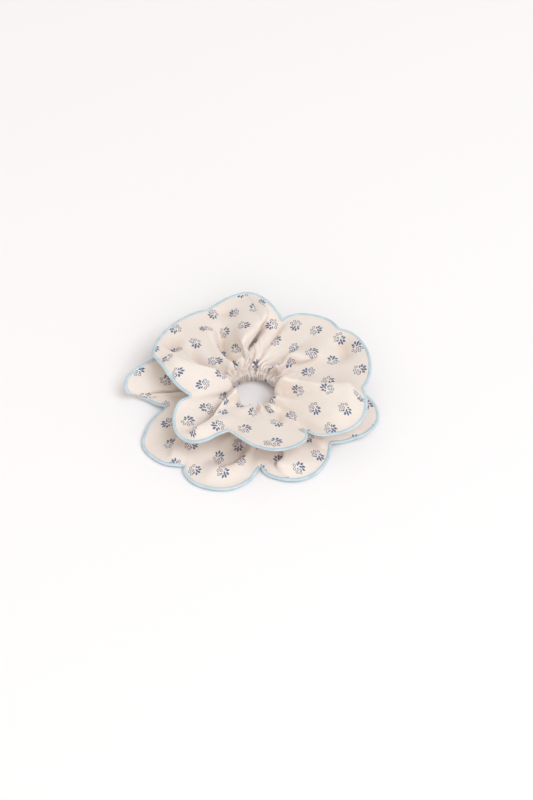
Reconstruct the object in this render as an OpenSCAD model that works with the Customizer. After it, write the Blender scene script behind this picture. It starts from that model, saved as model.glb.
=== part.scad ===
// Scalloped hair scrunchie: a ring of gathered cotton with two scalloped ruffles.
// Two cloth strips lie back to back. A rolled-edge thread joins them along both
// scalloped edges, and two rows of stitches make the channel that holds the elastic.
// The upper ruffle opens like a shallow funnel and the lower one lies on the table.
// Origin: centre of the hole, on the table. +Z is up, and the elastic stretches along X.
// Every ring of cloth and thread is in two halves, cut where the ring is pulled apart.

/* [Channel] */
// Width of the hole through the gathers
hole_d = 30; // [28:1:32]
// Height of the straight wall round the hole
wall_h = 9; // [8:0.5:10]
// Depth of the gathers on each side of the elastic
gather_t = 2.6; // [2:0.1:3]

/* [Elastic] */
// Width of the elastic band
band_w = 6.4; // [5:0.2:6.4]
// Thickness of the elastic band
band_t = 1; // [0.8:0.1:1]
// Length of the overlap where the ends of the band are sewn together
join_l = 12; // [8:1:16]

/* [Cloth] */
// Thickness of one strip, with the ripples that its gathers leave in it
cloth_t = 1; // [0.8:0.1:1.2]
// Gap between the two strips in a ruffle
ply_gap = 0.4; // [0.3:0.1:0.5]
// Rise of the upper ruffle for each millimetre outwards
funnel_slope = 0.25; // [0.15:0.05:0.35]

/* [Thread] */
// Width of the rolled edge
edge_w = 2.4; // [2:0.2:3]
// Radius of the rope of stitches along each side of the channel
row_r = 0.6; // [0.4:0.1:0.7]

/* [Stretch] */
// Gap between the two halves at rest
half_gap = 0.3; // [0.2:0.1:0.6]

/* [Hidden] */
$fn = 96;

// Notches of each scalloped edge as [azimuth, distance from the axis], anticlockwise,
// and how far the middle of the scallop after each notch reaches from the axis.
upper_notches = [[36, 62], [70, 53], [120, 60], [168, 58], [207, 48], [252, 52], [307, 54], [350, 62]];
upper_reach = [70, 73, 71, 64, 67, 68, 75, 75];
lower_notches = [[5, 64], [53, 62], [101, 60], [150, 62], [191, 60], [231, 68], [274, 57], [322, 61]];
lower_reach = [79, 77, 79, 83, 80, 79, 76, 83];

// Heights, from the table up.
floor_z = cloth_t + ply_gap;         // underside of the back strip in the lower ruffle
wall_z0 = 3;                         // bottom of the straight wall
wall_z1 = wall_z0 + wall_h;          // top of the straight wall
lip_z = wall_z1 + 5;                 // where the upper ruffle turns outwards
split_z = 2.7;                       // level that parts the lower outline from the upper one

// Distances from the axis, from the hole outwards.
hole_r = hole_d / 2;
face_r = hole_r + gather_t;          // back of the gathers on the hole's side
band_r = face_r + 0.6;               // inside of the elastic band
back_r = face_r + 3.2;               // inside of the gathers on the far side
back_out_r = back_r + gather_t;      // outside of the gathers on the far side
lip_r = hole_r + 9;                  // where the upper ruffle starts to run straight
rim_r = 100;                         // past every scallop
row_pos_r = (face_r + back_r) / 2;   // axis of the stitch rows

cloth_colour = [0.93, 0.88, 0.84];
thread_colour = [0.73, 0.85, 0.91];
cream_thread = [0.90, 0.84, 0.78];
elastic_colour = [0.95, 0.94, 0.92];

function polar(p) = p[1] * [cos(p[0]), sin(p[0])];
// Azimuth half-way from a to b, going anticlockwise.
function midway(a, b) = a + ((b - a + 360) % 360) / 2;
// Centre of the circle through three points.
function centre3(a, b, c) =
    let (d = 2 * (a.x * (b.y - c.y) + b.x * (c.y - a.y) + c.x * (a.y - b.y)))
    [(a * a * (b.y - c.y) + b * b * (c.y - a.y) + c * c * (a.y - b.y)) / d,
     (a * a * (c.x - b.x) + b * b * (a.x - c.x) + c * c * (b.x - a.x)) / d];
// Height of the top of the upper ruffle at distance r from the axis.
function funnel_z(r) = lip_z + 3 + (r - lip_r) * funnel_slope;

// Outline of a ruffle seen from above, drawn in by inset all round.
module scallops(notches, reach, inset = 0) {
    n = len(notches);
    polygon([for (p = notches) polar([p[0], p[1] - 2 * inset - 1])]);
    for (i = [0 : n - 1]) {
        a = polar(notches[i]);
        c = polar(notches[(i + 1) % n]);
        b = polar([midway(notches[i][0], notches[(i + 1) % n][0]), reach[i]]);
        m = centre3(a, b, c);
        translate(m) circle(r = norm(a - m) - inset);
    }
}

// The space that both ruffles fill: the lower outline below split_z, the upper one above.
module outlines(inset = 0) {
    translate([0, 0, -1])
        linear_extrude(height = split_z + 1) scallops(lower_notches, lower_reach, inset);
    translate([0, 0, split_z])
        linear_extrude(height = 60) scallops(upper_notches, upper_reach, inset);
}

// What lies on one side of the plane where the ring is pulled apart.
module half(side) {
    intersection() {
        children();
        translate([side * (rim_r + half_gap / 2), 0, 20])
            cube([2 * rim_r, 3 * rim_r, 100], center = true);
    }
}

// Section of the strip that shows from above, in the hole and under the lower ruffle.
module face_section() {
    polygon([
        [hole_r, wall_z0], [hole_r, wall_z1], [hole_r + 2, lip_z],
        [lip_r, funnel_z(lip_r)], [rim_r, funnel_z(rim_r)],
        [rim_r, funnel_z(rim_r) - cloth_t], [lip_r, funnel_z(lip_r) - cloth_t],
        [hole_r + 3, lip_z - 1], [face_r, wall_z1],
        [face_r, wall_z0], [face_r + 2, cloth_t], [rim_r, cloth_t],
        [rim_r, 0], [hole_r + 2, 0]
    ]);
}

// Section of the strip that shows between the two ruffles.
module back_section() {
    drop = cloth_t + ply_gap;
    polygon([
        [rim_r, funnel_z(rim_r) - drop], [lip_r, funnel_z(lip_r) - drop],
        [hole_r + 3.8, lip_z - 1.6], [face_r + 1, wall_z1 + 1], [back_r, wall_z1 - 1],
        [back_r, wall_z0 + 0.5], [back_r - 1, floor_z], [rim_r, floor_z],
        [rim_r, floor_z + cloth_t], [back_out_r + 1, floor_z + cloth_t],
        [back_out_r, floor_z + cloth_t + 1], [back_out_r, wall_z1 - 1],
        [back_out_r + 1, wall_z1 + 1], [lip_r + 2, funnel_z(lip_r) - drop - cloth_t],
        [rim_r, funnel_z(rim_r) - drop - cloth_t]
    ]);
}

module cloth(side) {
    color(cloth_colour) half(side) intersection() {
        rotate_extrude() children();
        outlines(edge_w);
    }
}

// Rolled edge that binds both strips along the upper scallops.
module upper_edge(side) {
    band_t_z = 2 * cloth_t + ply_gap;
    color(thread_colour) half(side) intersection() {
        rotate_extrude() polygon([
            [40, funnel_z(40)], [rim_r, funnel_z(rim_r)],
            [rim_r, funnel_z(rim_r) - band_t_z], [40, funnel_z(40) - band_t_z]
        ]);
        linear_extrude(height = 60) difference() {
            scallops(upper_notches, upper_reach);
            scallops(upper_notches, upper_reach, edge_w);
        }
    }
}

// Rolled edge that binds both strips along the lower scallops.
module lower_edge(side) {
    color(thread_colour) half(side)
        linear_extrude(height = 2 * cloth_t + ply_gap) difference() {
            scallops(lower_notches, lower_reach);
            scallops(lower_notches, lower_reach, edge_w);
        }
}

// Row of stitches at height z that closes one side of the channel.
module stitch_row(side, z) {
    color(cream_thread) half(side)
        rotate_extrude() translate([row_pos_r, z]) circle(r = row_r);
}

// Flat braided band, with a second layer where its ends overlap.
module elastic_band() {
    z0 = (wall_z0 + wall_z1 - band_w) / 2;
    join_a = join_l / (band_r + band_t) * 180 / PI;
    color(elastic_colour) translate([0, 0, z0]) {
        rotate_extrude() translate([band_r, 0]) square([band_t, band_w]);
        rotate([0, 0, 180 - join_a / 2]) rotate_extrude(angle = join_a)
            translate([band_r + band_t / 2, 0]) square([1.5 * band_t, band_w]);
    }
}

// Bars of thread across the overlap of the band.
module elastic_join_stitches() {
    bars = 5;
    bar_r = 0.2;
    r = band_r + 2 * band_t + bar_r;
    step_a = join_l / bars / r * 180 / PI;
    color(cream_thread) for (i = [0 : bars - 1])
        rotate([0, 0, 180 + (i - (bars - 1) / 2) * step_a])
            translate([r, 0, (wall_z0 + wall_z1) / 2])
                cylinder(r = bar_r, h = band_w - 1, center = true);
}

// Seam that closes one strip into a ring: its turned-in allowance, in both ruffles.
module strip_seam(azimuth, drop) {
    seam_t = ply_gap / 2 - 0.05;
    wide_a = 5;
    r0 = lip_r + 3;
    r1 = 50;
    color(cloth_colour) rotate([0, 0, azimuth]) {
        rotate_extrude(angle = wide_a) polygon([
            [r0, funnel_z(r0) - cloth_t - drop], [r1, funnel_z(r1) - cloth_t - drop],
            [r1, funnel_z(r1) - cloth_t - drop - seam_t], [r0, funnel_z(r0) - cloth_t - drop - seam_t]
        ]);
        rotate_extrude(angle = wide_a)
            translate([r0, cloth_t + drop]) square([r1 - r0, seam_t]);
    }
}

cloth(-1) face_section();  // face_strip_left
cloth(1) face_section();  // face_strip_right
cloth(-1) back_section();  // back_strip_left
cloth(1) back_section();  // back_strip_right
upper_edge(-1);  // upper_edge_thread_left
upper_edge(1);  // upper_edge_thread_right
lower_edge(-1);  // lower_edge_thread_left
lower_edge(1);  // lower_edge_thread_right
stitch_row(-1, wall_z1 - 0.7);  // upper_channel_stitches_left
stitch_row(1, wall_z1 - 0.7);  // upper_channel_stitches_right
stitch_row(-1, wall_z0 + 0.2);  // lower_channel_stitches_left
stitch_row(1, wall_z0 + 0.2);  // lower_channel_stitches_right
elastic_band();
elastic_join_stitches();
strip_seam(100, 0);  // face_strip_seam
strip_seam(140, ply_gap / 2 + 0.05);  // back_strip_seam
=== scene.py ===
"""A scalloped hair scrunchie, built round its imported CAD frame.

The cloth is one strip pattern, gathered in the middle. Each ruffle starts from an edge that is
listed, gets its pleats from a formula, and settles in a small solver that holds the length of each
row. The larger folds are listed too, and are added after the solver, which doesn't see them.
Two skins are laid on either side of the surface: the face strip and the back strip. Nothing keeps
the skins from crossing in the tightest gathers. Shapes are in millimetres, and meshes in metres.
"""

import math

import bpy
import numpy as np
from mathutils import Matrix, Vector


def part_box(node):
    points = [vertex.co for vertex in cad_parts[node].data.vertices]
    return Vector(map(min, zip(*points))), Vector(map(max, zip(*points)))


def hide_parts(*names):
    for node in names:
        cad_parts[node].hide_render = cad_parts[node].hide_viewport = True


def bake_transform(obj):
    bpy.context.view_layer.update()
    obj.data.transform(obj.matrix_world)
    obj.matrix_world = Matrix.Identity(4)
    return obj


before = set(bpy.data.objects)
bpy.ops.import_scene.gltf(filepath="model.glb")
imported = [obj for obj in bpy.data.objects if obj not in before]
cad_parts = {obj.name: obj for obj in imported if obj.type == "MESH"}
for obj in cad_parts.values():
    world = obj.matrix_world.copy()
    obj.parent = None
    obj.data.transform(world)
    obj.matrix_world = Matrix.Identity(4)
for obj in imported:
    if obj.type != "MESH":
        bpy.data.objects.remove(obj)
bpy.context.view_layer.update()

MM = 0.001

# ------------------------------ sizes, in mm
LOBES = 8                    # scallops on each edge
PITCH = 52.0                 # length of strip in one scallop
STRIP_L = LOBES * PITCH      # length of each strip before it is gathered
CLOTH_T = 0.3                # thickness of one strip
PLY_GAP = 0.12               # from the middle surface to either strip
CHANNEL_H = 4.1              # half the height of the channel for the elastic
EDGE_W, EDGE_T = 2.1, 1.44   # width and thickness of the rolled edge
THREAD_PITCH = 0.62          # one wrap of the edge thread
SEWING_R = 0.2               # radius of the sewing thread
STITCH = 2.2                 # length of one stitch
BAND_W, BAND_T = 6.0, 1.0    # width and thickness of the elastic
JOIN_L = 12.0                # length of its sewn overlap, at the left
PLEATS = 42                  # pleats at the channel

COLS = 40 * LOBES            # columns of the solver's grid round the ring
ROWS = 32                    # rows of the grid in each ruffle
CHANNEL_ROWS = 5             # rows of the grid in the channel, between the two rows of stitches
UPPER_ROW = 2 * (ROWS - 1)                        # row of the upper stitches, once refined
LOWER_ROW = UPPER_ROW + 2 * (CHANNEL_ROWS + 1)    # row of the lower stitches
FACE_SEAM = round(0.19 * COLS)                    # column where each strip is closed
BACK_SEAM = round(0.30 * COLS)

band_lo, band_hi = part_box("elastic_band")
BAND_R = (band_hi[1] - band_lo[1]) / 2 / MM            # outside of the elastic
ROW_R = BAND_R - 2.2                                   # middle of the gathers at the stitches
WALL_MID = (band_lo[2] + band_hi[2]) / 2 / MM          # height of the middle of the channel

# ------------------------------ edges of the ruffles, in mm
# Each scallop starts at its notch, and the next scallop's notch closes it. Anticlockwise, from
# the back right for the upper ruffle, and from the right for the lower one.
UPPER_EDGE = [
    [(55, 41, 22), (49, 50, 21), (36, 56, 20), (26, 57, 19)],
    [(18, 53, 18), (14, 61, 19), (6, 71, 20), (-5, 76, 20), (-17, 71, 20), (-26, 66, 18)],
    [(-31, 62, 17), (-37, 60, 18), (-46, 54, 19), (-54, 43, 23), (-62, 27, 27)],
    [(-65, 13, 30), (-58, 2, 31), (-52, -8, 30), (-46, -15, 29)],
    [(-39, -20, 28), (-47, -23, 25), (-50, -32, 23), (-49, -43, 22), (-43, -51, 22),
     (-34, -54, 23), (-22, -49, 25)],
    [(-15, -47, 27), (-9, -53, 28), (0, -59, 27), (14, -63, 27), (28, -56, 24), (33, -48, 21)],
    [(31, -41, 20), (40, -45, 20), (51, -46, 22), (63, -42, 24), (69, -32, 24), (70, -21, 25)],
    [(68, -12, 25), (72, -4, 25), (74, 10, 25), (70, 27, 24), (62, 38, 23)],
]
LOWER_EDGE = [
    [(62, 5, 6), (71, 12, 4), (75, 24, 2), (71, 38, 2), (60, 48, 2), (46, 53, 2)],
    [(37, 50, 3), (36, 58, 2), (29, 63, 2), (17, 64, 2), (4, 70, 2), (-7, 67, 2)],
    [(-11, 59, 3), (-19, 66, 2), (-32, 70, 2), (-46, 64, 2), (-56, 53, 3), (-58, 40, 5)],
    [(-54, 31, 8), (-62, 24, 16), (-67, 17, 18), (-76, 12, 17), (-83, 3, 15), (-82, -2, 11),
     (-77, 0, 6), (-71, -1, 3), (-64, -5, 3)],
    [(-56, -10, 4), (-64, -18, 3), (-69, -30, 3), (-70, -40, 2), (-64, -48, 2), (-55, -54, 2)],
    [(-43, -55, 2), (-43, -61, 2), (-37, -69, 2), (-18, -74, 2), (-4, -68, 2)],
    [(4, -55, 2), (8, -62, 2), (25, -67, 2), (38, -62, 2), (46, -50, 2)],
    [(48, -38, 3), (56, -36, 2), (64, -34, 3), (72, -31, 5), (79, -21, 6), (77, -10, 8),
     (70, -2, 8)],
]


# ------------------------------ curves and grids
def unit(v):
    """Vectors of length 1 along v."""
    return v / np.maximum(np.linalg.norm(v, axis=-1, keepdims=True), 1e-9)


def smooth_curve(points, per_span=12):
    """A centripetal Catmull-Rom curve through the points."""
    p = np.array(points, float)
    p = np.vstack([2 * p[0] - p[1], p, 2 * p[-1] - p[-2]])
    out = []
    for i in range(1, len(p) - 2):
        knots = [0.0]
        for a, b in zip(p[i - 1:i + 2], p[i:i + 3]):
            knots.append(knots[-1] + math.sqrt(np.linalg.norm(b - a)))
        t0, t1, t2, t3 = knots
        t = np.linspace(t1, t2, per_span, endpoint=False)[:, None]
        a1 = (t1 - t) / (t1 - t0) * p[i - 1] + (t - t0) / (t1 - t0) * p[i]
        a2 = (t2 - t) / (t2 - t1) * p[i] + (t - t1) / (t2 - t1) * p[i + 1]
        a3 = (t3 - t) / (t3 - t2) * p[i + 1] + (t - t2) / (t3 - t2) * p[i + 2]
        b1 = (t2 - t) / (t2 - t0) * a1 + (t - t0) / (t2 - t0) * a2
        b2 = (t3 - t) / (t3 - t1) * a2 + (t - t1) / (t3 - t1) * a3
        out.append((t2 - t) / (t2 - t1) * b1 + (t - t1) / (t2 - t1) * b2)
    out.append(p[-2:-1])
    return np.vstack(out)


def resample(points, count):
    """count points at equal steps along the line, without its last point."""
    steps = np.linalg.norm(np.diff(points, axis=0), axis=1)
    along = np.concatenate([[0], np.cumsum(steps)])
    at = np.linspace(0, along[-1], count, endpoint=False)
    return np.stack([np.interp(at, along, points[:, k]) for k in range(3)], axis=1)


def edge_curve(lobes):
    """One closed edge, with the same number of grid columns in each scallop."""
    parts = []
    for i, lobe in enumerate(lobes):
        closed = lobe + [lobes[(i + 1) % len(lobes)][0]]
        parts.append(resample(smooth_curve(closed), COLS // LOBES))
    return np.vstack(parts)


def ease(t, a, b):
    """0 before a, 1 after b, and a smooth step between them."""
    t = np.clip((t - a) / (b - a), 0, 1)
    return t * t * (3 - 2 * t)


def down_the_strip(in_ruffle, in_channel):
    """One value for each row of the strip. in_ruffle is a function of the place in a ruffle,
    from the channel at 0 to the edge at 1."""
    return np.concatenate([in_ruffle(np.linspace(1, 0, ROWS)), np.full(CHANNEL_ROWS, in_channel),
                           in_ruffle(np.linspace(0, 1, ROWS))])


def quads(rows, cols, ring=False):
    """Faces of a grid that closes along its columns, and along its rows too if it is a ring."""
    r, c = np.meshgrid(np.arange(rows if ring else rows - 1), np.arange(cols), indexing="ij")
    down, right = (r + 1) % rows, (c + 1) % cols
    return np.stack([r * cols + c, r * cols + right, down * cols + right, down * cols + c], -1)


def closed_length(line):
    """Distance along a closed line to each of its points, and at last back to its first one."""
    steps = np.linalg.norm(np.roll(line, -1, 0) - line, axis=1)
    return np.concatenate([[0], np.cumsum(steps)])


def ahead(line, axis=0):
    """Unit direction along a closed line, or along the rows of a grid with axis=1."""
    return unit(np.roll(line, -1, axis) - np.roll(line, 1, axis))


def placed(name, data):
    """A new object in the scene, made of a mesh, a light or a camera."""
    obj = bpy.data.objects.new(name, data)
    bpy.context.collection.objects.link(obj)
    return obj


def solid(name, points, faces):
    """A smooth-shaded mesh from points in mm."""
    mesh = bpy.data.meshes.new(name)
    mesh.from_pydata((points * MM).tolist(), [], faces)
    mesh.polygons.foreach_set("use_smooth", [True] * len(mesh.polygons))
    mesh.update()
    return placed(name, mesh)


# ------------------------------ first shape of the cloth
columns = np.arange(COLS) / COLS                       # place round the ring, from 0 to 1
TURN = np.radians(32) + 2 * math.pi * columns          # azimuth of each column in the channel

# Folds, given one by one: height in mm (a dip is negative), width of the flank on the left and on
# the right in mm, and the line of the fold as (place round the ring, place from the channel at 0 to
# the edge at 1). The left of a line that runs outwards is the side of the lower columns.
UPPER_FOLDS = [
    # the crest that runs from the hole to the left notch, the crevice and the dip behind it
    (7.5, 2.2, 14, [(0.432, 0.00), (0.447, 0.30), (0.444, 0.56), (0.422, 0.80), (0.374, 1.12)]),
    (-10.0, 4.5, 2.0, [(0.417, -0.1), (0.432, 0.32), (0.429, 0.58), (0.412, 0.76), (0.388, 0.93)]),
    (-7.0, 6, 5, [(0.390, 0.0), (0.408, 0.30), (0.404, 0.56), (0.388, 0.74), (0.365, 0.90)]),
    # the crest that runs to the right notch, the crevice and the dip behind it
    (8.5, 14, 2.4, [(0.870, -0.1), (0.844, 0.30), (0.843, 0.56), (0.853, 0.76), (0.872, 1.2)]),
    (-9.0, 2.0, 3.5, [(0.885, -0.1), (0.859, 0.32), (0.856, 0.58), (0.861, 0.74), (0.868, 0.92)]),
    (-4.0, 7, 11, [(0.930, 0.0), (0.900, 0.40), (0.892, 0.65), (0.892, 0.95)]),
    # the pinched crease behind the hole, which has a lip on its left
    (9.5, 1.8, 8, [(0.268, -0.05), (0.242, 0.26), (0.213, 0.48), (0.183, 0.70), (0.150, 0.95)]),
    (-10.0, 3.5, 1.8, [(0.257, -0.05), (0.230, 0.26), (0.200, 0.48), (0.170, 0.70), (0.138, 0.95)]),
    # the flap across the front left scallop, and the hollow behind it
    (8.5, 2.2, 9, [(0.552, 0.00), (0.578, 0.32), (0.600, 0.55), (0.605, 0.74), (0.594, 0.88),
                   (0.570, 0.98), (0.550, 1.05)]),
    (-11.0, 6, 4.0, [(0.533, 0.05), (0.553, 0.32), (0.573, 0.54), (0.578, 0.70), (0.568, 0.80),
                     (0.552, 0.88)]),
    # dips to the notches
    (-4.5, 5, 9, [(0.775, 0.05), (0.766, 0.60), (0.753, 1.20)]),
    (-3.5, 7, 6, [(0.640, 0.30), (0.636, 0.70), (0.622, 1.20)]),
    (-3.5, 4, 5, [(0.140, 0.40), (0.125, 0.85), (0.120, 1.20)]),
    (-3.5, 2.5, 2.5, [(0.248, 1.20), (0.236, 0.95), (0.222, 0.87), (0.210, 0.78)]),
    (-5.0, 3.5, 4, [(1.000, 1.10), (0.978, 0.90), (0.956, 0.84), (0.932, 0.76)]),
    # folds of the back left scallop
    (-8.0, 3.0, 5, [(0.303, 0.00), (0.270, 0.50), (0.256, 0.66), (0.245, 0.84)]),
    (6.0, 4, 5, [(0.322, 0.05), (0.290, 0.45), (0.272, 0.66), (0.262, 0.84)]),
    (-8.0, 3.0, 4, [(0.352, 0.25), (0.338, 0.60), (0.312, 0.80)]),
    (-7.0, 2.2, 3.5, [(0.357, 0.90), (0.338, 0.86), (0.308, 0.90)]),
    # folds of the back right scallops
    (-7.5, 2.2, 2.6, [(0.990, -0.05), (0.998, 0.15), (1.014, 0.28), (1.010, 0.48)]),
    (6.0, 2.6, 7, [(1.005, 0.02), (1.022, 0.25), (1.022, 0.42), (0.992, 0.54), (0.970, 0.75)]),
    (-4.0, 3.5, 5, [(0.062, 0.05), (0.060, 0.35), (0.035, 0.62)]),
    # folds of the front scallops
    (-5.0, 2.5, 5, [(0.752, 0.25), (0.740, 0.45), (0.718, 0.66)]),
    (2.5, 6, 7, [(0.835, 0.10), (0.825, 0.60), (0.805, 0.95)]),
]
LOWER_FOLDS = [
    (5.0, 3.0, 14, [(0.436, 0.30), (0.424, 0.70), (0.400, 1.20)]),
    # each scallop laps the one before
    (4.2, 3.2, 12, [(0.520, 0.20), (0.528, 0.72), (0.545, 0.88), (0.558, 1.20)]),
    (2.5, 4.0, 14, [(0.690, 0.10), (0.686, 1.20)]),
    (4.0, 3.0, 12, [(0.810, 0.10), (0.812, 1.20)]),
    # a crease across the front scallop, and the folds that run down to it
    (5.0, 8, 1.8, [(0.588, 0.85), (0.606, 0.82), (0.628, 0.78), (0.646, 0.68), (0.662, 0.50)]),
    (-5.0, 1.8, 5, [(0.588, 0.79), (0.606, 0.76), (0.626, 0.72), (0.642, 0.62), (0.656, 0.45)]),
    (3.0, 4, 6, [(0.600, 0.10), (0.604, 0.60)]),
    (6.5, 2.0, 10, [(0.762, 0.30), (0.748, 0.77), (0.718, 0.95)]),
]
# gentle folds of the back and right scallops
for first, last, reach in ((0.300, 0.300, 0.90), (0.200, 0.190, 1.00), (0.065, 0.062, 1.00),
                           (0.930, 0.937, 1.00)):
    LOWER_FOLDS.append((4.0, 4, 8, [(first, 0.10), (last, reach)]))
AROUND, OUTWARD = 300.0, 50.0         # size of a ruffle in which the folds are drawn, in mm
CREST_FADE, DIP_FADE = 0.18, 0.38     # share of a fold's line in which each end fades away
LEAN = 0.80                           # how far a sharp crest leans over its steep flank
SHARP = 3.5                           # flanks narrower than this lean, in mm


def channel_ring(radius, height):
    """Points on a circle round the hole, one for each column, in mm."""
    return np.stack([radius * np.cos(TURN), radius * np.sin(TURN),
                     np.full_like(TURN, height)], axis=1)


def bezier(p, s):
    """Cubic curves, one for each column, sampled at s: rows by columns by 3."""
    s = s[:, None, None]
    return ((1 - s) ** 3 * p[0] + 3 * s * (1 - s) ** 2 * p[1]
            + 3 * s * s * (1 - s) * p[2] + s ** 3 * p[3])


def upwards(grid, row):
    """Unit normals of a grid that closes along its columns, on the side that faces up at row."""
    along = np.roll(grid, -1, axis=1) - np.roll(grid, 1, axis=1)
    normals = unit(np.cross(along, np.gradient(grid, axis=0)))
    return -normals if normals[row, :, 2].mean() < 0 else normals


def drift(seed, size):
    """A smooth, uneven shift round the ring, in radians."""
    rng = np.random.default_rng(seed)
    shift = np.zeros(COLS)
    for k in range(2, 12):
        shift += rng.uniform(-1, 1) / math.sqrt(k) * np.sin(
            2 * math.pi * k * columns + rng.uniform(0, 2 * math.pi))
    return size * shift


def wave(count, seed, unevenness):
    """count folds round the ring, of uneven width and height, between about -1 and 1."""
    strength = 1 + 0.35 * np.tanh(drift(seed + 50, 1.0))
    return strength * np.cos(2 * math.pi * count * columns + drift(seed, unevenness))


def pleat_sway(count, seed, unevenness):
    """Shift along the ring that makes the same folds round at their tips, in pleat widths."""
    return 0.06 * np.sin(2 * (2 * math.pi * count * columns + drift(seed, unevenness)))


def fold_field(folds, s):
    """Height of the listed folds, and how far they lean over, rows by columns, in mm."""
    height, lean = np.zeros((len(s), COLS)), np.zeros((len(s), COLS))
    for size, left, right, path in folds:
        line = smooth_curve([(c * AROUND, r * OUTWARD) for c, r in path], 8)
        nearest = np.full(height.shape, np.inf)
        width, along = np.ones(height.shape), np.zeros(height.shape)
        for i, (p, q) in enumerate(zip(line[:-1], line[1:])):
            run = q - p
            dx = (columns[None] * AROUND - p[0] + AROUND / 2) % AROUND - AROUND / 2
            dy = s[:, None] * OUTWARD - p[1]
            t = np.clip((dx * run[0] + dy * run[1]) / (run @ run), 0, 1)
            away = np.hypot(dx - t * run[0], dy - t * run[1])
            nearer = away < nearest
            nearest = np.where(nearer, away, nearest)
            width = np.where(nearer, np.where(run[0] * dy > run[1] * dx, left, right), width)
            along = np.where(nearer, (i + t) / (len(line) - 1), along)
        end = CREST_FADE if size > 0 else DIP_FADE
        fade = ease(along, 0, end) * (1 - ease(along, 1 - end, 1))
        shape = size * fade * np.exp(-(nearest / width) ** 2)
        height += shape
        if size > 0 and min(left, right) < SHARP:
            lean += LEAN * shape * (1 if right < left else -1)
    keep = (1 - ease(s, 0.88, 1.0))[:, None]
    return height * keep, lean * keep


def shared_out(depth, row_length):
    """Place of each column along its row, so that steep folds take up less of the row."""
    piece = STRIP_L / COLS
    rise = (np.roll(depth, -1, axis=1) - np.roll(depth, 1, axis=1)) / 2
    low, high = np.full(len(depth), 0.8), np.full(len(depth), 1.35)
    for _ in range(20):
        swell = (low + high) / 2
        level = np.sqrt(np.maximum(piece ** 2 - (rise * swell[:, None]) ** 2,
                                   (0.3 * piece) ** 2))
        too_long = level.sum(axis=1) > row_length
        low, high = np.where(too_long, swell, low), np.where(too_long, high, swell)
    place = np.cumsum(level, axis=1)
    place = np.hstack([np.zeros((len(place), 1)), place[:, :-1]]) / place[:, -1:]
    place -= (place - columns).mean(axis=1, keepdims=True)
    return place, swell[:, None]


def moved_along(row, place):
    """The points of one closed row at the given places, from 0 to 1."""
    at = np.concatenate([columns - 1, columns, columns + 1])
    return np.stack([np.interp(place, at, np.tile(row[:, k], 3)) for k in range(3)], axis=1)


def ruffle(edge, side):
    """One ruffle, from its edge (row 0) to its row of stitches, before it settles."""
    s = np.linspace(1, 0, ROWS)
    foot = channel_ring(ROW_R, WALL_MID + side * CHANNEL_H)
    outward = unit(edge * [1, 1, 0])
    if side > 0:
        rise = foot + [0, 0, 5] - outward * 0.5
        reach = edge + (foot - edge) * [0.55, 0.55, 0.35] + [0, 0, 1]
    else:
        rise = foot + outward * 6 - [0, 0, 1.5]
        reach = edge + (foot - edge) * [0.5, 0.5, 0.3]
    base = bezier([foot, rise, reach, edge], s)
    t = s[:, None]
    crowded = 0.5 + 0.5 * np.exp(-((columns[None] - 0.30) / 0.11) ** 2)
    # Pleats at the channel, wider ripples beyond them, and swells further out. The middle
    # number of each wave is its seed, which differs between the two ruffles.
    depth = (wave(PLEATS, 3 + side, 2.2) * 2.0 * crowded * (1 - ease(t, 0.04, 0.32))
             + wave(19, 11 + side, 1.8) * 1.4 * ease(t, 0.02, 0.20) * (1 - ease(t, 0.20, 0.50))
             + wave(9, 23 + side, 1.4) * 0.8 * ease(t, 0.10, 0.40) * (1 - ease(t, 0.50, 0.95)))
    row_length = np.linalg.norm(np.roll(base, -1, axis=1) - base, axis=2).sum(axis=1)
    place, swell = shared_out(depth, row_length)
    far = ease(t, 0.8, 1.0)
    place = place * (1 - far) + columns * far
    depth = depth * (1 + (swell - 1) * (1 - far))
    base = np.stack([moved_along(row, at) for row, at in zip(base, place)])
    up = upwards(base, ROWS // 2)
    tangent = ahead(base, 1)
    sway = pleat_sway(PLEATS, 3 + side, 2.2) * 2 * math.pi * ROW_R / PLEATS
    sway = sway * (1 - ease(t, 0.04, 0.34))
    return base + up * depth[..., None] + tangent * sway[..., None]


upper = ruffle(edge_curve(UPPER_EDGE), 1)
lower = ruffle(np.roll(edge_curve(LOWER_EDGE), -COLS // LOBES // 2, axis=0), -1)


# ------------------------------ cloth solver
STEPS = 260       # solver steps
SKIN = 1.5                              # closest that two folds come to each other, in mm
FLOOR_Z = 0.8                           # lowest that the middle of the cloth lies, in mm


def pull(x, weight, a, b, rest, stiffness, only_push=False):
    """Brings the points at a and b to their rest distance."""
    d = x[b] - x[a]
    dist = np.linalg.norm(d, axis=-1)
    miss = dist - rest
    if only_push:
        miss = np.minimum(miss, 0)
    wa, wb = weight[a], weight[b]
    share = stiffness * miss / np.maximum(dist, 1e-6) / np.maximum(wa + wb, 1e-6)
    move = d * share[..., None]
    x[a] += move * wa[..., None]
    x[b] -= move * wb[..., None]


def grid_links(rows, cols, row_step, col_step):
    """Pairs of points at one offset in the grid, in sets that share no point."""
    r, c = np.meshgrid(np.arange(rows - row_step), np.arange(cols), indexing="ij")
    a = r * cols + c
    b = (r + row_step) * cols + (c + col_step) % cols
    if row_step:
        group = (r // row_step) % 2
    else:
        group = (c // abs(col_step)) % 2
    return [(a[group == g], b[group == g]) for g in (0, 1)]


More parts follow.
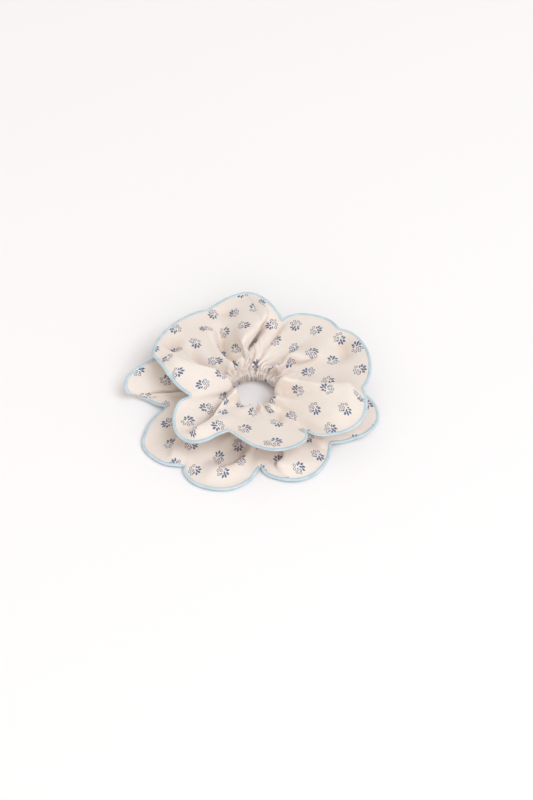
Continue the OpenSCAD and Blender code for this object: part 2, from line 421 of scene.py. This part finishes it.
def neighbours(x, cols, reach):
    """Pairs of points nearer than reach that are not close in the grid."""
    cell = np.floor(x / reach).astype(np.int64)
    cell -= cell.min(axis=0) - 1
    size = cell.max(axis=0) + 2
    key = (cell[:, 0] * size[1] + cell[:, 1]) * size[2] + cell[:, 2]
    order = np.argsort(key, kind="stable")
    sorted_key = key[order]
    found = []
    half = [(0, 0, 0)] + [(i, j, k) for i in (-1, 0, 1) for j in (-1, 0, 1) for k in (-1, 0, 1)
                          if (i, j, k) > (0, 0, 0)]
    for off in half:
        shifted = key + (off[0] * size[1] + off[1]) * size[2] + off[2]
        start = np.searchsorted(sorted_key, shifted, "left")
        count = np.searchsorted(sorted_key, shifted, "right") - start
        for n in range(int(count.max(initial=0))):
            has = np.nonzero(count > n)[0]
            other = order[start[has] + n]
            if off == (0, 0, 0):
                keep = other > has
                has, other = has[keep], other[keep]
            found.append((has, other))
    a = np.concatenate([f[0] for f in found])
    b = np.concatenate([f[1] for f in found])
    row_gap = np.abs(a // cols - b // cols)
    col_gap = np.abs(a % cols - b % cols)
    col_gap = np.minimum(col_gap, cols - col_gap)
    near = ((x[a] - x[b]) ** 2).sum(axis=1) < reach * reach
    keep = near & (row_gap + col_gap > 3)
    return a[keep], b[keep]


def settle(grid, rest_along, pinned, hold):
    """Moves the cloth towards the lengths of its rows, and pushes near folds apart.

    grid is rows by columns by 3, in mm, and hold is how firmly each point keeps its place."""
    rows, cols = grid.shape[:2]
    x = grid.reshape(-1, 3).copy()
    goal = x.copy()
    last = x.copy()
    weight = np.where(pinned.ravel(), 0.0, 1.0)
    hold = hold.ravel()[:, None]

    links = []
    for g in grid_links(rows, cols, 0, 1):
        links.append((*g, rest_along.ravel()[g[0]], 0.9, False))
    for g in grid_links(rows, cols, 1, 0):
        links.append((*g, np.linalg.norm(goal[g[0]] - goal[g[1]], axis=1), 1.0, False))
    for step in (1, -1):
        for g in grid_links(rows, cols, 1, step):
            across = np.linalg.norm(goal[g[0]] - goal[g[0] + cols], axis=1)
            rest = np.hypot(rest_along.ravel()[g[0]], across)
            links.append((*g, rest, 0.25, False))
    for g in grid_links(rows, cols, 0, 2):
        links.append((*g, 1.96 * rest_along.ravel()[g[0]], 0.35, True))
    for g in grid_links(rows, cols, 2, 0):
        across = np.linalg.norm(goal[g[0]] - goal[g[0] + cols], axis=1)
        links.append((*g, 1.98 * across, 0.5, True))

    for step in range(STEPS):
        speed = np.clip((x - last) * 0.9, -0.4, 0.4)
        last = x.copy()
        x += speed * weight[:, None]
        x[:, 2] -= 0.004 * weight
        for a, b, rest, stiffness, only_push in links:
            pull(x, weight, a, b, rest, stiffness, only_push)
        x += (goal - x) * hold
        if step % 2 == 0:
            a, b = neighbours(x, cols, SKIN)
            d = x[b] - x[a]
            dist = np.maximum(np.linalg.norm(d, axis=1), 1e-6)
            move = d * (0.5 * (SKIN - dist) / dist)[:, None]
            push = np.zeros_like(x)
            hits = np.zeros(len(x))
            np.add.at(push, a, -move)
            np.add.at(push, b, move)
            np.add.at(hits, a, 1)
            np.add.at(hits, b, 1)
            x += push / np.maximum(hits, 1)[:, None] * weight[:, None]
        x[:, 2] = np.maximum(x[:, 2], FLOOR_Z)
    return x.reshape(grid.shape)


def whole_strip(upper, lower):
    """The middle of both strips in one grid, from the upper edge to the lower one."""
    top, bottom = upper[-1], lower[-1]
    between = np.linspace(0, 1, CHANNEL_ROWS + 2)[1:-1, None, None]
    return np.concatenate([upper, top + (bottom - top) * between, lower[::-1]])


strip = whole_strip(upper, lower)
# Each row may end up 6% shorter than it starts, or 2 to 8% longer. The channel doesn't move,
# and both edges hardly do.
row_length = np.linalg.norm(np.roll(strip, -1, axis=1) - strip, axis=2)
inner = down_the_strip(lambda s: ease(s, 0.75, 0.25), 1)[:, None]
rest_along = np.clip(STRIP_L / COLS, row_length * 0.94, row_length * (1.02 + 0.06 * inner))
pinned = np.zeros(strip.shape[:2], bool)
pinned[ROWS - 2:ROWS + CHANNEL_ROWS + 2] = True
hold = np.full(strip.shape[:2], 0.01)
hold[0] = 0.2
hold[-1] = 0.2

settled = settle(strip, rest_along, pinned, hold)


# ------------------------------ finer grid and the two skins
def refine(grid):
    """Twice the rows and columns, on smooth curves through the points."""
    before, after, far = np.roll(grid, 1, 1), np.roll(grid, -1, 1), np.roll(grid, -2, 1)
    between = (9 * (grid + after) - before - far) / 16
    wide = np.empty((grid.shape[0], 2 * grid.shape[1], 3))
    wide[:, 0::2], wide[:, 1::2] = grid, between
    ends = np.vstack([2 * wide[:1] - wide[1:2], wide, 2 * wide[-1:] - wide[-2:-1]])
    middle = (9 * (ends[1:-2] + ends[2:-1]) - ends[:-3] - ends[3:]) / 16
    fine = np.empty((2 * wide.shape[0] - 1, wide.shape[1], 3))
    fine[0::2], fine[1::2] = wide, middle
    return fine


def soften(grid, passes):
    """Takes the smallest ripples out, and leaves both edges where they are."""
    grid = grid.copy()
    for _ in range(passes):
        across = (np.roll(grid, 1, 1) + 6 * grid + np.roll(grid, -1, 1)) / 8
        grid[1:-1] = (across[:-2] + 6 * across[1:-1] + across[2:]) / 8
    return grid


def with_folds(grid):
    """Irons the outer part of both ruffles, and adds the listed folds."""
    grid = soften(grid, 2)
    ironed = soften(grid, 16)
    far_out = down_the_strip(lambda s: ease(s, 0.35, 0.8), 0)[:, None, None]
    grid = grid + (ironed - grid) * far_out
    up = upwards(soften(ironed, 40), ROWS // 2)
    from_channel = np.linspace(0, 1, ROWS)
    height, lean = np.zeros(grid.shape[:2]), np.zeros(grid.shape[:2])
    height[:ROWS], lean[:ROWS] = (f[::-1] for f in fold_field(UPPER_FOLDS, from_channel))
    height[-ROWS:], lean[-ROWS:] = fold_field(LOWER_FOLDS, from_channel)
    height[-ROWS:] *= -1
    sideways = ahead(ironed, 1)
    near_hole = np.zeros((len(grid), 1, 1))
    near_hole[:ROWS, 0, 0] = 1 - ease(from_channel, 0.05, 0.35)[::-1]
    lift = unit(up + np.array([0, 0, 3.0]) * near_hole)
    grid = soften(grid + lift * height[..., None] + sideways * lean[..., None], 1)
    grid[..., 2] = np.maximum(grid[..., 2], FLOOR_Z)
    return grid


settled = with_folds(settled)
middle = refine(settled)
facing = upwards(middle, UPPER_ROW // 2)
inward = unit(-middle * [1, 1, 0])
# in_channel is 0 at both rows of stitches and beyond, and 1 half-way between them.
row_index = np.arange(middle.shape[0])
in_channel = np.clip(1 - np.abs(2 * (row_index - UPPER_ROW) / (LOWER_ROW - UPPER_ROW) - 1), 0, 1)
room = 1 - (1 - in_channel) ** 4
turned = ease(in_channel, 0, 0.25)[:, None, None]
smooth_facing = unit(facing * (1 - turned) + inward * turned)

FACE_ROOM, BACK_ROOM = 1.3, 3.4        # how far the channel opens to either side, in mm
CROWDING = 2.6                         # how much more the gathers bulge behind the hole, in mm
CLEAR = 0.2                            # gap between a skin and the elastic in mid-channel, in mm
LAP_ROOM = 1.6                         # room for the lapped ends of the elastic, in mm


def skin(side, depth):
    """The surface at depth mm from the middle, on the face side (1) or the back side (-1).

    In the middle of the channel both skins keep clear of the elastic. Beside the rows of
    stitches they don't, and they cross it where a row lies off its level."""
    away = depth + (FACE_ROOM if side > 0 else BACK_ROOM) * room[:, None, None]
    if side > 0:
        crowd = ease(middle[..., 1] / ROW_R, 0.1, 0.9)
        away = away + CROWDING * (crowd * room[:, None])[..., None]
    surface = middle + smooth_facing * side * away
    radius = np.hypot(surface[..., 0], surface[..., 1])
    left = np.cos(np.arctan2(surface[..., 1], surface[..., 0]) - math.pi)
    if side > 0:
        clear = np.minimum(radius, BAND_R - BAND_T - CLEAR - depth)
    else:
        overlap = LAP_ROOM * ease(left, 0.85, 0.94)
        clear = np.maximum(radius, BAND_R + CLEAR + depth + overlap)
    held_off = ease(in_channel, 0.04, 0.2)[:, None]
    scale = 1 + (clear / radius - 1) * held_off
    surface[..., :2] *= scale[..., None]
    return surface


def seam_groove(column):
    """Narrow dip across the strip, where its ends are sewn together."""
    away = (np.arange(2 * COLS) - 2 * column + COLS) % (2 * COLS) - COLS
    return 0.22 * np.exp(-(away / 1.1) ** 2)[None, :, None]


CREASE_SHADE_REACH = 4                       # points from a crease to its sides, for the painted crease shade


def crease_shade_depth(side):
    """How deep each point of one skin lies in a crease, in mm, which sets how much shade is painted
    there.
    """
    k = CREASE_SHADE_REACH
    beside = (np.roll(middle, k, 1) + np.roll(middle, -k, 1)) / 2 - middle
    longer = np.pad(middle, ((k, k), (0, 0), (0, 0)), mode="edge")
    above = (longer[2 * k:] + longer[:-2 * k]) / 2 - middle
    depth = ((beside + above) * smooth_facing).sum(axis=2) * side
    return soften(np.maximum(depth, 0), 6)


LAYOUT_STEPS = 160    # solver steps that lay the print out flat


def laid_flat(grid, cut):
    """Lays one ruffle out flat, cut at one column, for the print: rows by columns + 1 by 2.

    Row 0 is the stitched side. The ruffle flares, so it lies as part of a ring."""
    grid = np.roll(grid, -cut, axis=1)
    grid = np.concatenate([grid, grid[:, :1]], axis=1)
    rows, cols = grid.shape[:2]
    across = np.cumsum(np.linalg.norm(np.diff(grid, axis=0), axis=2), axis=0)
    across = np.vstack([np.zeros((1, cols)), across])
    lengths = np.linalg.norm(np.diff(grid, axis=1), axis=2)
    total = lengths.sum(axis=1)
    start = rows // 4
    flare = (total[-1] - total[start]) / (across[-1] - across[start]).mean()
    radius = total[start] / flare - across[start].mean()
    turn = np.cumsum(lengths[start:].sum(axis=0))
    turn = np.concatenate([[0], turn]) / turn[-1] * flare
    x = np.stack([(radius + across) * np.cos(turn), (radius + across) * np.sin(turn)], axis=2)
    x = x.reshape(-1, 2)
    shape = grid.reshape(-1, 3)
    weight = np.ones(len(x))
    links = []
    for row_step, col_step in ((0, 1), (1, 0), (1, 1), (1, -1)):
        for a, b in grid_links(rows, cols, row_step, col_step):
            inside = np.abs(a % cols - b % cols) <= 1
            a, b = a[inside], b[inside]
            links.append((a, b, np.linalg.norm(shape[a] - shape[b], axis=1)))
    for _ in range(LAYOUT_STEPS):
        for a, b, rest in links:
            pull(x, weight, a, b, rest, 0.8)
    x = x.reshape(rows, cols, 2)
    fine = np.empty((2 * rows - 1, 2 * cols - 1, 2))
    fine[0::2, 0::2] = x
    fine[0::2, 1::2] = (x[:, 1:] + x[:, :-1]) / 2
    fine[1::2] = (fine[0:-2:2] + fine[2::2]) / 2
    return fine


def shell(name, outer, inner, cut, depth):
    """A closed mesh between two grids, with the flat pattern as its UV map (1 is 100 mm)."""
    grid = np.concatenate([outer, inner[::-1]])
    rows, cols = grid.shape[:2]
    faces = quads(rows, cols, ring=True).reshape(-1, 4).tolist()
    obj = solid(name, grid.reshape(-1, 3), faces)
    mesh = obj.data
    r, c = np.meshgrid(np.arange(rows), np.arange(cols), indexing="ij")
    down = (r + 1) % rows
    parting = ROWS + CHANNEL_ROWS // 2
    flats = [laid_flat(settled[:parting + 1][::-1], cut)[::-1], laid_flat(settled[parting:], cut)]
    along = (c - 2 * cut) % cols
    last = rows // 2 - 1
    first, second = np.minimum(r, 2 * last + 1 - r), np.minimum(down, 2 * last + 1 - down)
    upper_part = (first + second) / 2 < 2 * parting
    uv = np.empty((rows, cols, 4, 2))
    corners = ((first, along), (first, along + 1), (second, along + 1), (second, along))
    for k, (row, col) in enumerate(corners):
        row = np.clip(row, 0, last)
        top = flats[0][np.minimum(row, 2 * parting), col]
        bottom = flats[1][np.maximum(row - 2 * parting, 0), col]
        uv[:, :, k] = np.where(upper_part[..., None], top, bottom)
    layer = mesh.uv_layers.new(name="pattern")
    layer.data.foreach_set("uv", (uv / 100).reshape(-1).astype(np.float32))
    # the crease depth goes on the mesh, for the painted shade in the creases of the cotton
    crease_shade = mesh.attributes.new("crease_shade", "FLOAT", "POINT")
    crease_shade.data.foreach_set("value", np.concatenate([depth, depth[::-1]]).reshape(-1))
    return obj


face_outer = skin(1, PLY_GAP + CLOTH_T) - smooth_facing * seam_groove(FACE_SEAM)
face_strip = shell("face_strip", face_outer, skin(1, PLY_GAP), FACE_SEAM, crease_shade_depth(1))
back_outer = skin(-1, PLY_GAP + CLOTH_T) + smooth_facing * seam_groove(BACK_SEAM)
back_strip = shell("back_strip", skin(-1, PLY_GAP), back_outer, BACK_SEAM, crease_shade_depth(-1))


def allowance(name, side, column):
    """The turned-in edges of one strip at its seam, laid just inside the strip."""
    reach = 12
    cols = (2 * column + np.arange(-reach, reach + 1)) % (2 * COLS)
    rows = np.arange(6, len(middle) - 6)
    top = skin(side, PLY_GAP - 0.01)[rows][:, cols]
    bottom = skin(side, PLY_GAP - 0.09)[rows][:, cols]
    ring = np.concatenate([top, bottom[:, ::-1]], axis=1)
    count, sides = ring.shape[:2]
    faces = quads(count, sides).reshape(-1, 4).tolist()
    half = sides // 2
    for end, turned in ((0, True), ((count - 1) * sides, False)):
        for k in range(half - 1):
            cap = [end + k, end + k + 1, end + sides - 2 - k, end + sides - 1 - k]
            faces.append(cap[::-1] if turned else cap)
    return solid(name, ring.reshape(-1, 3), faces)


face_seam = allowance("face_seam", 1, FACE_SEAM)
back_seam = allowance("back_seam", -1, BACK_SEAM)


# ------------------------------ thread and elastic
def tube(name, path, side, normal, half_w, half_t, sides, ridge=0.0, turns=0.0):
    """A closed tube round a closed path, flat along side, with slanting ridges."""
    count = len(path)
    angle = np.arange(sides) * 2 * math.pi / sides
    along = np.arange(count)[:, None] / count
    swell = 1 + ridge * np.abs(np.sin(math.pi * turns * along + angle[None] * 0.5)) ** 0.7
    ring = (path[:, None]
            + side[:, None] * (half_w * swell * np.cos(angle))[..., None]
            + normal[:, None] * (half_t * swell * np.sin(angle))[..., None])
    faces = quads(count, sides, ring=True)[..., [0, 3, 2, 1]]
    return solid(name, ring.reshape(-1, 3), faces.reshape(-1, 4).tolist())


def resample_closed(values, along, at):
    """The values of a closed line at the given distances along it."""
    return np.stack([np.interp(at, along, np.append(values[:, k], values[0, k]))
                     for k in range(values.shape[1])], axis=1)


def blur_closed(values, passes):
    """Smooths the values along a closed line."""
    for _ in range(passes):
        values = (np.roll(values, 1, 0) + 2 * values + np.roll(values, -1, 0)) / 4
    return values


def rolled_edge(name, edge_row, inner_row):
    """The overlock thread that wraps one scalloped edge of both strips."""
    edge, inner = middle[edge_row], middle[inner_row]
    along = closed_length(edge)
    count = int(along[-1] / THREAD_PITCH) * 5
    at = np.linspace(0, along[-1], count, endpoint=False)
    path = blur_closed(resample_closed(edge, along, at), 30)
    side = unit(blur_closed(resample_closed(edge - inner, along, at), 60))
    tangent = ahead(path)
    normal = unit(blur_closed(np.cross(tangent, side), 20))
    side = unit(np.cross(normal, tangent))
    path = path - side * (EDGE_W / 2 - 0.35)
    return tube(name, path, side, normal, EDGE_W / 2 - 0.05, EDGE_T / 2, 14, 0.10, count / 5)


upper_edge_thread = rolled_edge("upper_edge_thread", 0, 3)
lower_edge_thread = rolled_edge("lower_edge_thread", -1, -4)


def stitch_row(name, row):
    """A row of stitches through both strips, along one side of the channel."""
    line = middle[row]
    along = closed_length(line)
    stitches = int(along[-1] / (2 * STITCH))
    count = stitches * 20
    at = np.linspace(0, along[-1], count, endpoint=False)
    path = resample_closed(line, along, at)
    through = unit(blur_closed(resample_closed(facing[row], along, at), 4))
    weave = np.sin(2 * math.pi * stitches * np.arange(count) / count)
    weave = np.tanh(3 * weave) * (PLY_GAP + CLOTH_T + SEWING_R * 0.6)
    path = path + through * weave[:, None]
    tangent = ahead(path)
    side = unit(np.cross(tangent, through))
    return tube(name, path, side, unit(np.cross(side, tangent)), SEWING_R, SEWING_R, 8,
                0.12, stitches * 6)


upper_stitches = stitch_row("upper_channel_stitches", UPPER_ROW)
lower_stitches = stitch_row("lower_channel_stitches", LOWER_ROW)


CORD_W = 0.75                          # width of one cord of the braid, in mm
LAP = 1.06 * BAND_T                    # how far the upper end of the elastic stands off


def elastic():
    """A flat braided band: one length of elastic whose ends lap at the left."""
    count, sides = 900, 64
    lap = JOIN_L / BAND_R
    turn = np.linspace(math.pi - lap / 2, 3 * math.pi + lap / 2, count)
    part = np.linspace(0, 1, count)
    radius = BAND_R - BAND_T / 2 + LAP * ease(part, 0.80, 0.93)
    around = np.arange(sides) * 2 * math.pi / sides
    z = np.cos(around)
    z = np.sign(z) * np.abs(z) ** 0.45 * BAND_W / 2
    face = np.sin(around)
    flat = np.sign(face) * np.abs(face) ** 0.35 * (BAND_T / 2 - 0.08)
    zigzag = np.abs((z / CORD_W) % 2 - 1)
    braid = np.abs(np.sin(0.5 * (turn[:, None] * BAND_R / 0.5 * math.pi
                                 + zigzag[None] * math.pi)))
    cords = np.abs(np.sin(math.pi * z / CORD_W))[None]
    relief = 0.08 * (0.45 * braid + 0.55 * cords) * np.sign(face)[None]
    r = radius[:, None] + flat[None] + relief
    ring = np.stack([r * np.cos(turn)[:, None], r * np.sin(turn)[:, None],
                     WALL_MID + np.broadcast_to(z, r.shape)], axis=2)
    faces = quads(count, sides).reshape(-1, 4).tolist()
    faces.append(list(range(sides))[::-1])
    faces.append([(count - 1) * sides + i for i in range(sides)])
    return solid("braided_elastic", ring.reshape(-1, 3), faces)


def join_stitches():
    """A zigzag of thread through the overlap of the elastic, on both of its faces."""
    bars = 7
    corner = [(i - (bars - 1) / 2, (-1) ** i) for i in range(bars)]
    outside = [(BAND_R + LAP + 0.12, a, b) for a, b in corner]
    inside = [(BAND_R - BAND_T - 0.08, a, b) for a, b in corner[::-1]]
    loop = []
    for r, a, b in outside + inside:
        angle = math.pi + a * 0.8 * JOIN_L / (bars - 1) / BAND_R
        height = WALL_MID + b * 0.4 * BAND_W
        loop.append((r * math.cos(angle), r * math.sin(angle), height))
    loop = np.array(loop)
    along = closed_length(loop)
    at = np.linspace(0, along[-1], 420, endpoint=False)
    path = blur_closed(resample_closed(loop, along, at), 4)
    tangent = ahead(path)
    side = unit(np.cross(tangent, [1.0, 0.0, 0.05]))
    return tube("join_stitches", path, side, unit(np.cross(side, tangent)),
                SEWING_R, SEWING_R, 8, 0.12, 120)


band = elastic()
band_stitches = join_stitches()


# ------------------------------ materials
class Graph:
    """Builds the nodes of one material."""

    def __init__(self, name):
        self.material = bpy.data.materials.new(name)
        self.material.use_nodes = True
        self.tree = self.material.node_tree
        self.shader = self.tree.nodes["Principled BSDF"]

    def node(self, kind, **settings):
        made = self.tree.nodes.new(kind)
        for key, value in settings.items():
            setattr(made, key, value)
        return made

    def feed(self, socket, value):
        if isinstance(value, bpy.types.NodeSocket):
            self.tree.links.new(value, socket)
        else:
            socket.default_value = value

    def math(self, operation, *values):
        made = self.node("ShaderNodeMath", operation=operation)
        for socket, value in zip(made.inputs, values):
            self.feed(socket, value)
        return made.outputs[0]

    def vector(self, operation, a, b=None, output=0):
        made = self.node("ShaderNodeVectorMath", operation=operation)
        self.feed(made.inputs[0], a)
        if b is not None:
            self.feed(made.inputs[1], b)
        return made.outputs[output]

    def scaled(self, a, factor):
        made = self.node("ShaderNodeVectorMath", operation="SCALE")
        self.feed(made.inputs[0], a)
        self.feed(made.inputs["Scale"], factor)
        return made.outputs[0]

    def split(self, a):
        made = self.node("ShaderNodeSeparateXYZ")
        self.feed(made.inputs[0], a)
        return made.outputs

    def join(self, x, y, z=0.0):
        made = self.node("ShaderNodeCombineXYZ")
        for socket, value in zip(made.inputs, (x, y, z)):
            self.feed(socket, value)
        return made.outputs[0]

    def noise(self, place, scale, detail=2.0):
        made = self.node("ShaderNodeTexNoise")
        self.feed(made.inputs["Vector"], place)
        made.inputs["Scale"].default_value = scale
        made.inputs["Detail"].default_value = detail
        return made.outputs["Fac"]

    def ramp(self, value, low, high, to_low=0.0, to_high=1.0):
        made = self.node("ShaderNodeMapRange", interpolation_type="SMOOTHSTEP")
        for socket, setting in zip(made.inputs, (value, low, high, to_low, to_high)):
            self.feed(socket, setting)
        return made.outputs[0]

    def mix(self, factor, a, b):
        made = self.node("ShaderNodeMix", data_type="RGBA")
        self.feed(made.inputs["Factor"], factor)
        self.feed(made.inputs[6], a)
        self.feed(made.inputs[7], b)
        return made.outputs[2]

    def bump(self, height, strength, distance, normal=None):
        made = self.node("ShaderNodeBump")
        made.inputs["Strength"].default_value = strength
        made.inputs["Distance"].default_value = distance
        self.feed(made.inputs["Height"], height)
        if normal is not None:
            self.feed(made.inputs["Normal"], normal)
        return made.outputs[0]

    def finish(self, colour, normal, **constants):
        self.feed(self.shader.inputs["Base Color"], colour)
        self.feed(self.shader.inputs["Normal"], normal)
        for key, value in constants.items():
            self.shader.inputs[key.replace("_", " ")].default_value = value
        return self.material


# One sprig of the print, in mm from its middle: pointed leaves as (x, y, half length, half
# width, direction in degrees) and open berries as (x, y, radius).
LEAVES = [(-1.1, 3.3, 1.35, 0.75, 100), (-2.7, 2.3, 1.45, 0.75, 135), (-3.4, 0.5, 1.40, 0.75, 170),
          (-1.3, 1.1, 1.40, 0.62, 130), (-2.5, -1.3, 1.35, 0.70, 210), (-0.9, -1.5, 1.05, 0.50, 240),
          (0.6, 2.3, 1.05, 0.50, 65)]
BERRIES = [(2.2, 3.1, 0.80), (3.6, 1.0, 0.80), (3.0, -1.4, 0.80), (1.0, -2.8, 0.80),
           (1.4, 0.5, 0.66)]
SPRIG_STEP = STRIP_L / 24                              # distance from sprig to sprig, in mm


def sprigs(g, place):
    """1 where the print has ink. place is the flat pattern, in mm."""
    x, y, _ = g.split(g.scaled(place, 1 / SPRIG_STEP))
    column = g.math("FLOOR", x)
    y = g.math("ADD", y, g.math("MULTIPLY", g.math("FLOORED_MODULO", column, 2.0), 0.5))
    row = g.math("FLOOR", y)
    chance = g.node("ShaderNodeTexWhiteNoise", noise_dimensions="3D")
    g.feed(chance.inputs["Vector"], g.join(column, row, 3.0))
    local = g.vector("SUBTRACT", g.join(x, y), g.join(column, row))
    shift = g.vector("SUBTRACT", chance.outputs["Color"], (0.5, 0.5, 0.5))
    local = g.vector("SUBTRACT", local, (0.5, 0.5, 0.0))
    local = g.scaled(g.vector("SUBTRACT", local, g.scaled(shift, 0.28)), SPRIG_STEP)
    local = g.vector("MULTIPLY", local, (1.0, 1.0, 0.0))
    turn = g.math("MULTIPLY", chance.outputs["Value"], 2 * math.pi)
    spin = g.node("ShaderNodeVectorRotate", rotation_type="Z_AXIS")
    g.feed(spin.inputs["Vector"], local)
    g.feed(spin.inputs["Angle"], turn)
    local = spin.outputs[0]
    nearest = None
    for cx, cy, half_l, half_w, angle in LEAVES:
        away = g.vector("SUBTRACT", local, (cx, cy, 0.0))
        c, s = math.cos(math.radians(angle)), math.sin(math.radians(angle))
        along = g.vector("DOT_PRODUCT", away, (c / half_l, s / half_l, 0.0), output=1)
        across = g.math("ABSOLUTE", g.vector("DOT_PRODUCT", away, (-s, c, 0.0), output=1))
        width = g.math("MULTIPLY_ADD", g.math("MULTIPLY", along, along), half_w, -half_w)
        inside = g.math("ADD", across, width)
        nearest = inside if nearest is None else g.math("MINIMUM", nearest, inside)
    for cx, cy, radius in BERRIES:
        centre = g.vector("DISTANCE", local, (cx, cy, 0.0), output=1)
        ring = g.math("ABSOLUTE", g.math("SUBTRACT", centre, radius))
        nearest = g.math("MINIMUM", nearest, g.math("SUBTRACT", ring, 0.20))
    return g.ramp(nearest, 0.06, -0.06)


def printed_cotton():
    g = Graph("printed_cotton")
    pattern = g.node("ShaderNodeUVMap", uv_map="pattern").outputs[0]
    place = g.scaled(pattern, 100.0)
    tone = g.ramp(g.noise(place, 0.045, 3.0), 0.35, 0.65)
    cream = g.mix(tone, (0.855, 0.745, 0.680, 1), (0.870, 0.770, 0.712, 1))
    slub = g.ramp(g.noise(g.vector("MULTIPLY", place, (0.25, 2.6, 1.0)), 1.0, 2.0), 0.3, 0.7)
    cream = g.mix(g.math("MULTIPLY", slub, 0.10), cream, (0.70, 0.60, 0.53, 1))
    # painted shade: the cream darkens to a warm brown in the deep creases, where shade falls
    crease_shade = g.node("ShaderNodeAttribute", attribute_name="crease_shade").outputs["Fac"]
    cream = g.mix(g.ramp(crease_shade, 0.2, 3.6, 0.0, 0.50), cream, (0.66, 0.47, 0.36, 1))
    worn = g.ramp(g.noise(place, 1.6, 2.0), 0.25, 0.75, 0.78, 1.0)
    ink = g.math("MULTIPLY", sprigs(g, place), worn)
    colour = g.mix(ink, cream, (0.022, 0.090, 0.210, 1))
    x, y, _ = g.split(g.scaled(place, 2 * math.pi / 0.72))
    threads = g.math("MULTIPLY", g.math("SINE", x), g.math("SINE", y))
    normal = g.bump(threads, 0.35, 0.00008)
    crumple = g.noise(place, 0.35, 3.0)
    normal = g.bump(crumple, 0.25, 0.0006, normal)
    return g.finish(colour, normal, Roughness=0.88, Sheen_Weight=0.15, Sheen_Roughness=0.45,
                    Specular_IOR_Level=0.22, Subsurface_Weight=0.35, Subsurface_Scale=0.001,
                    Subsurface_Radius=(1.0, 0.78, 0.62))


def dyed_thread(name, light, dark, roughness, sheen):
    """Spun thread: fine fibres and slightly uneven dye."""
    g = Graph(name)
    place = g.node("ShaderNodeTexCoord").outputs["Object"]
    fibres = g.noise(place, 5200.0, 3.0)
    dye = g.noise(place, 160.0, 2.0)
    colour = g.mix(g.ramp(dye, 0.3, 0.7), light, dark)
    colour = g.mix(g.ramp(fibres, 0.55, 0.85, 0.0, 0.35), colour, dark)
    normal = g.bump(fibres, 0.35, 0.0001)
    return g.finish(colour, normal, Roughness=roughness, Sheen_Weight=sheen,
                    Sheen_Roughness=0.4, Specular_IOR_Level=0.35)


# ------------------------------ scene
VIEW_HEIGHT = math.radians(50)         # how far up the camera stands
VIEW_DISTANCE = 1.207                  # from the point it looks at, in metres
VIEW_X = 0.0078                        # that point, to the right of the middle of the hole
WORLD_LIGHT = 0.69
KEY_POWER, KEY_PLACE = 76, (1.5, -1.4, 3.4)
FILL_POWER, FILL_PLACE = 13, (0.1, -2.2, 0.8)


def camera():
    """Looks down at the hole from the front, with an 85 mm lens."""
    lens = bpy.data.cameras.new("camera")
    lens.lens = 85
    lens.sensor_width = 36
    lens.clip_start = 0.05
    holder = placed("camera", lens)
    holder.location = (VIEW_X, -VIEW_DISTANCE * math.cos(VIEW_HEIGHT),
                       VIEW_DISTANCE * math.sin(VIEW_HEIGHT))
    holder.rotation_euler = (math.pi / 2 - VIEW_HEIGHT, 0, 0)
    bpy.context.scene.camera = holder


def soft_light(name, place, size, power, colour):
    """A square lamp that faces the middle of the floor."""
    lamp = bpy.data.lights.new(name, "AREA")
    lamp.size = size
    lamp.energy = power
    lamp.color = colour
    holder = placed(name, lamp)
    holder.location = place
    holder.rotation_euler = (-Vector(place)).to_track_quat("-Z", "Y").to_euler()


def studio():
    """A pale floor, a warm surround, a cool key light from the right and a weak fill light."""
    mesh = bpy.data.meshes.new("floor")
    corners = [(-1, -1), (1, -1), (1, 1), (-1, 1)]
    mesh.from_pydata([(3.0 * x, 3.0 * y, 0) for x, y in corners], [], [(0, 1, 2, 3)])
    floor = placed("floor", mesh)
    g = Graph("pale_floor")
    place = g.node("ShaderNodeTexCoord").outputs["Object"]
    tone = g.mix(g.noise(place, 3.0), (0.890, 0.882, 0.898, 1), (0.902, 0.894, 0.910, 1))
    mesh.materials.append(g.finish(tone, g.bump(g.noise(place, 400.0), 0.02, 0.0002),
                                   Roughness=0.8, Specular_IOR_Level=0.2,
                                   Emission_Color=(1.0, 0.99, 0.98, 1),
                                   Emission_Strength=0.02))
    world = bpy.data.worlds.new("surround")
    world.use_nodes = True
    bpy.context.scene.world = world
    back = world.node_tree.nodes["Background"]
    back.inputs["Color"].default_value = (1.0, 0.950, 0.890, 1)
    back.inputs["Strength"].default_value = WORLD_LIGHT
    soft_light("key", KEY_PLACE, 2.2, KEY_POWER, (0.89, 0.94, 1.0))
    soft_light("fill", FILL_PLACE, 1.8, FILL_POWER, (1.0, 0.95, 0.88))
    bpy.context.scene.view_settings.view_transform = "Standard"


def halves(name):
    """The two CAD nodes of a ring that is cut in halves."""
    return [name + "_left", name + "_right"]


cotton = printed_cotton()
blue_thread = dyed_thread("edge_thread", (0.570, 0.680, 0.740, 1), (0.450, 0.580, 0.660, 1),
                          0.6, 0.3)
cream_thread = dyed_thread("sewing_thread", (0.74, 0.64, 0.55, 1), (0.62, 0.52, 0.43, 1),
                           0.6, 0.2)
white_elastic = dyed_thread("braided_elastic", (0.84, 0.83, 0.80, 1), (0.72, 0.70, 0.67, 1),
                            0.75, 0.2)
MADE = [
    (face_strip, "printed_cotton", cotton, halves("face_strip")),
    (back_strip, "printed_cotton", cotton, halves("back_strip")),
    (upper_edge_thread, "edge_thread", blue_thread, halves("upper_edge_thread")),
    (lower_edge_thread, "edge_thread", blue_thread, halves("lower_edge_thread")),
    (upper_stitches, "sewing_thread", cream_thread, halves("upper_channel_stitches")),
    (lower_stitches, "sewing_thread", cream_thread, halves("lower_channel_stitches")),
    (band, "braided_elastic", white_elastic, ["elastic_band"]),
    (band_stitches, "sewing_thread", cream_thread, ["elastic_join_stitches"]),
    (face_seam, "printed_cotton", cotton, ["face_strip_seam"]),
    (back_seam, "printed_cotton", cotton, ["back_strip_seam"]),
]
for piece, slot, material, nodes in MADE:
    piece.data.materials.append(material)
    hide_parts(*nodes)
    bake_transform(piece)
camera()
studio()
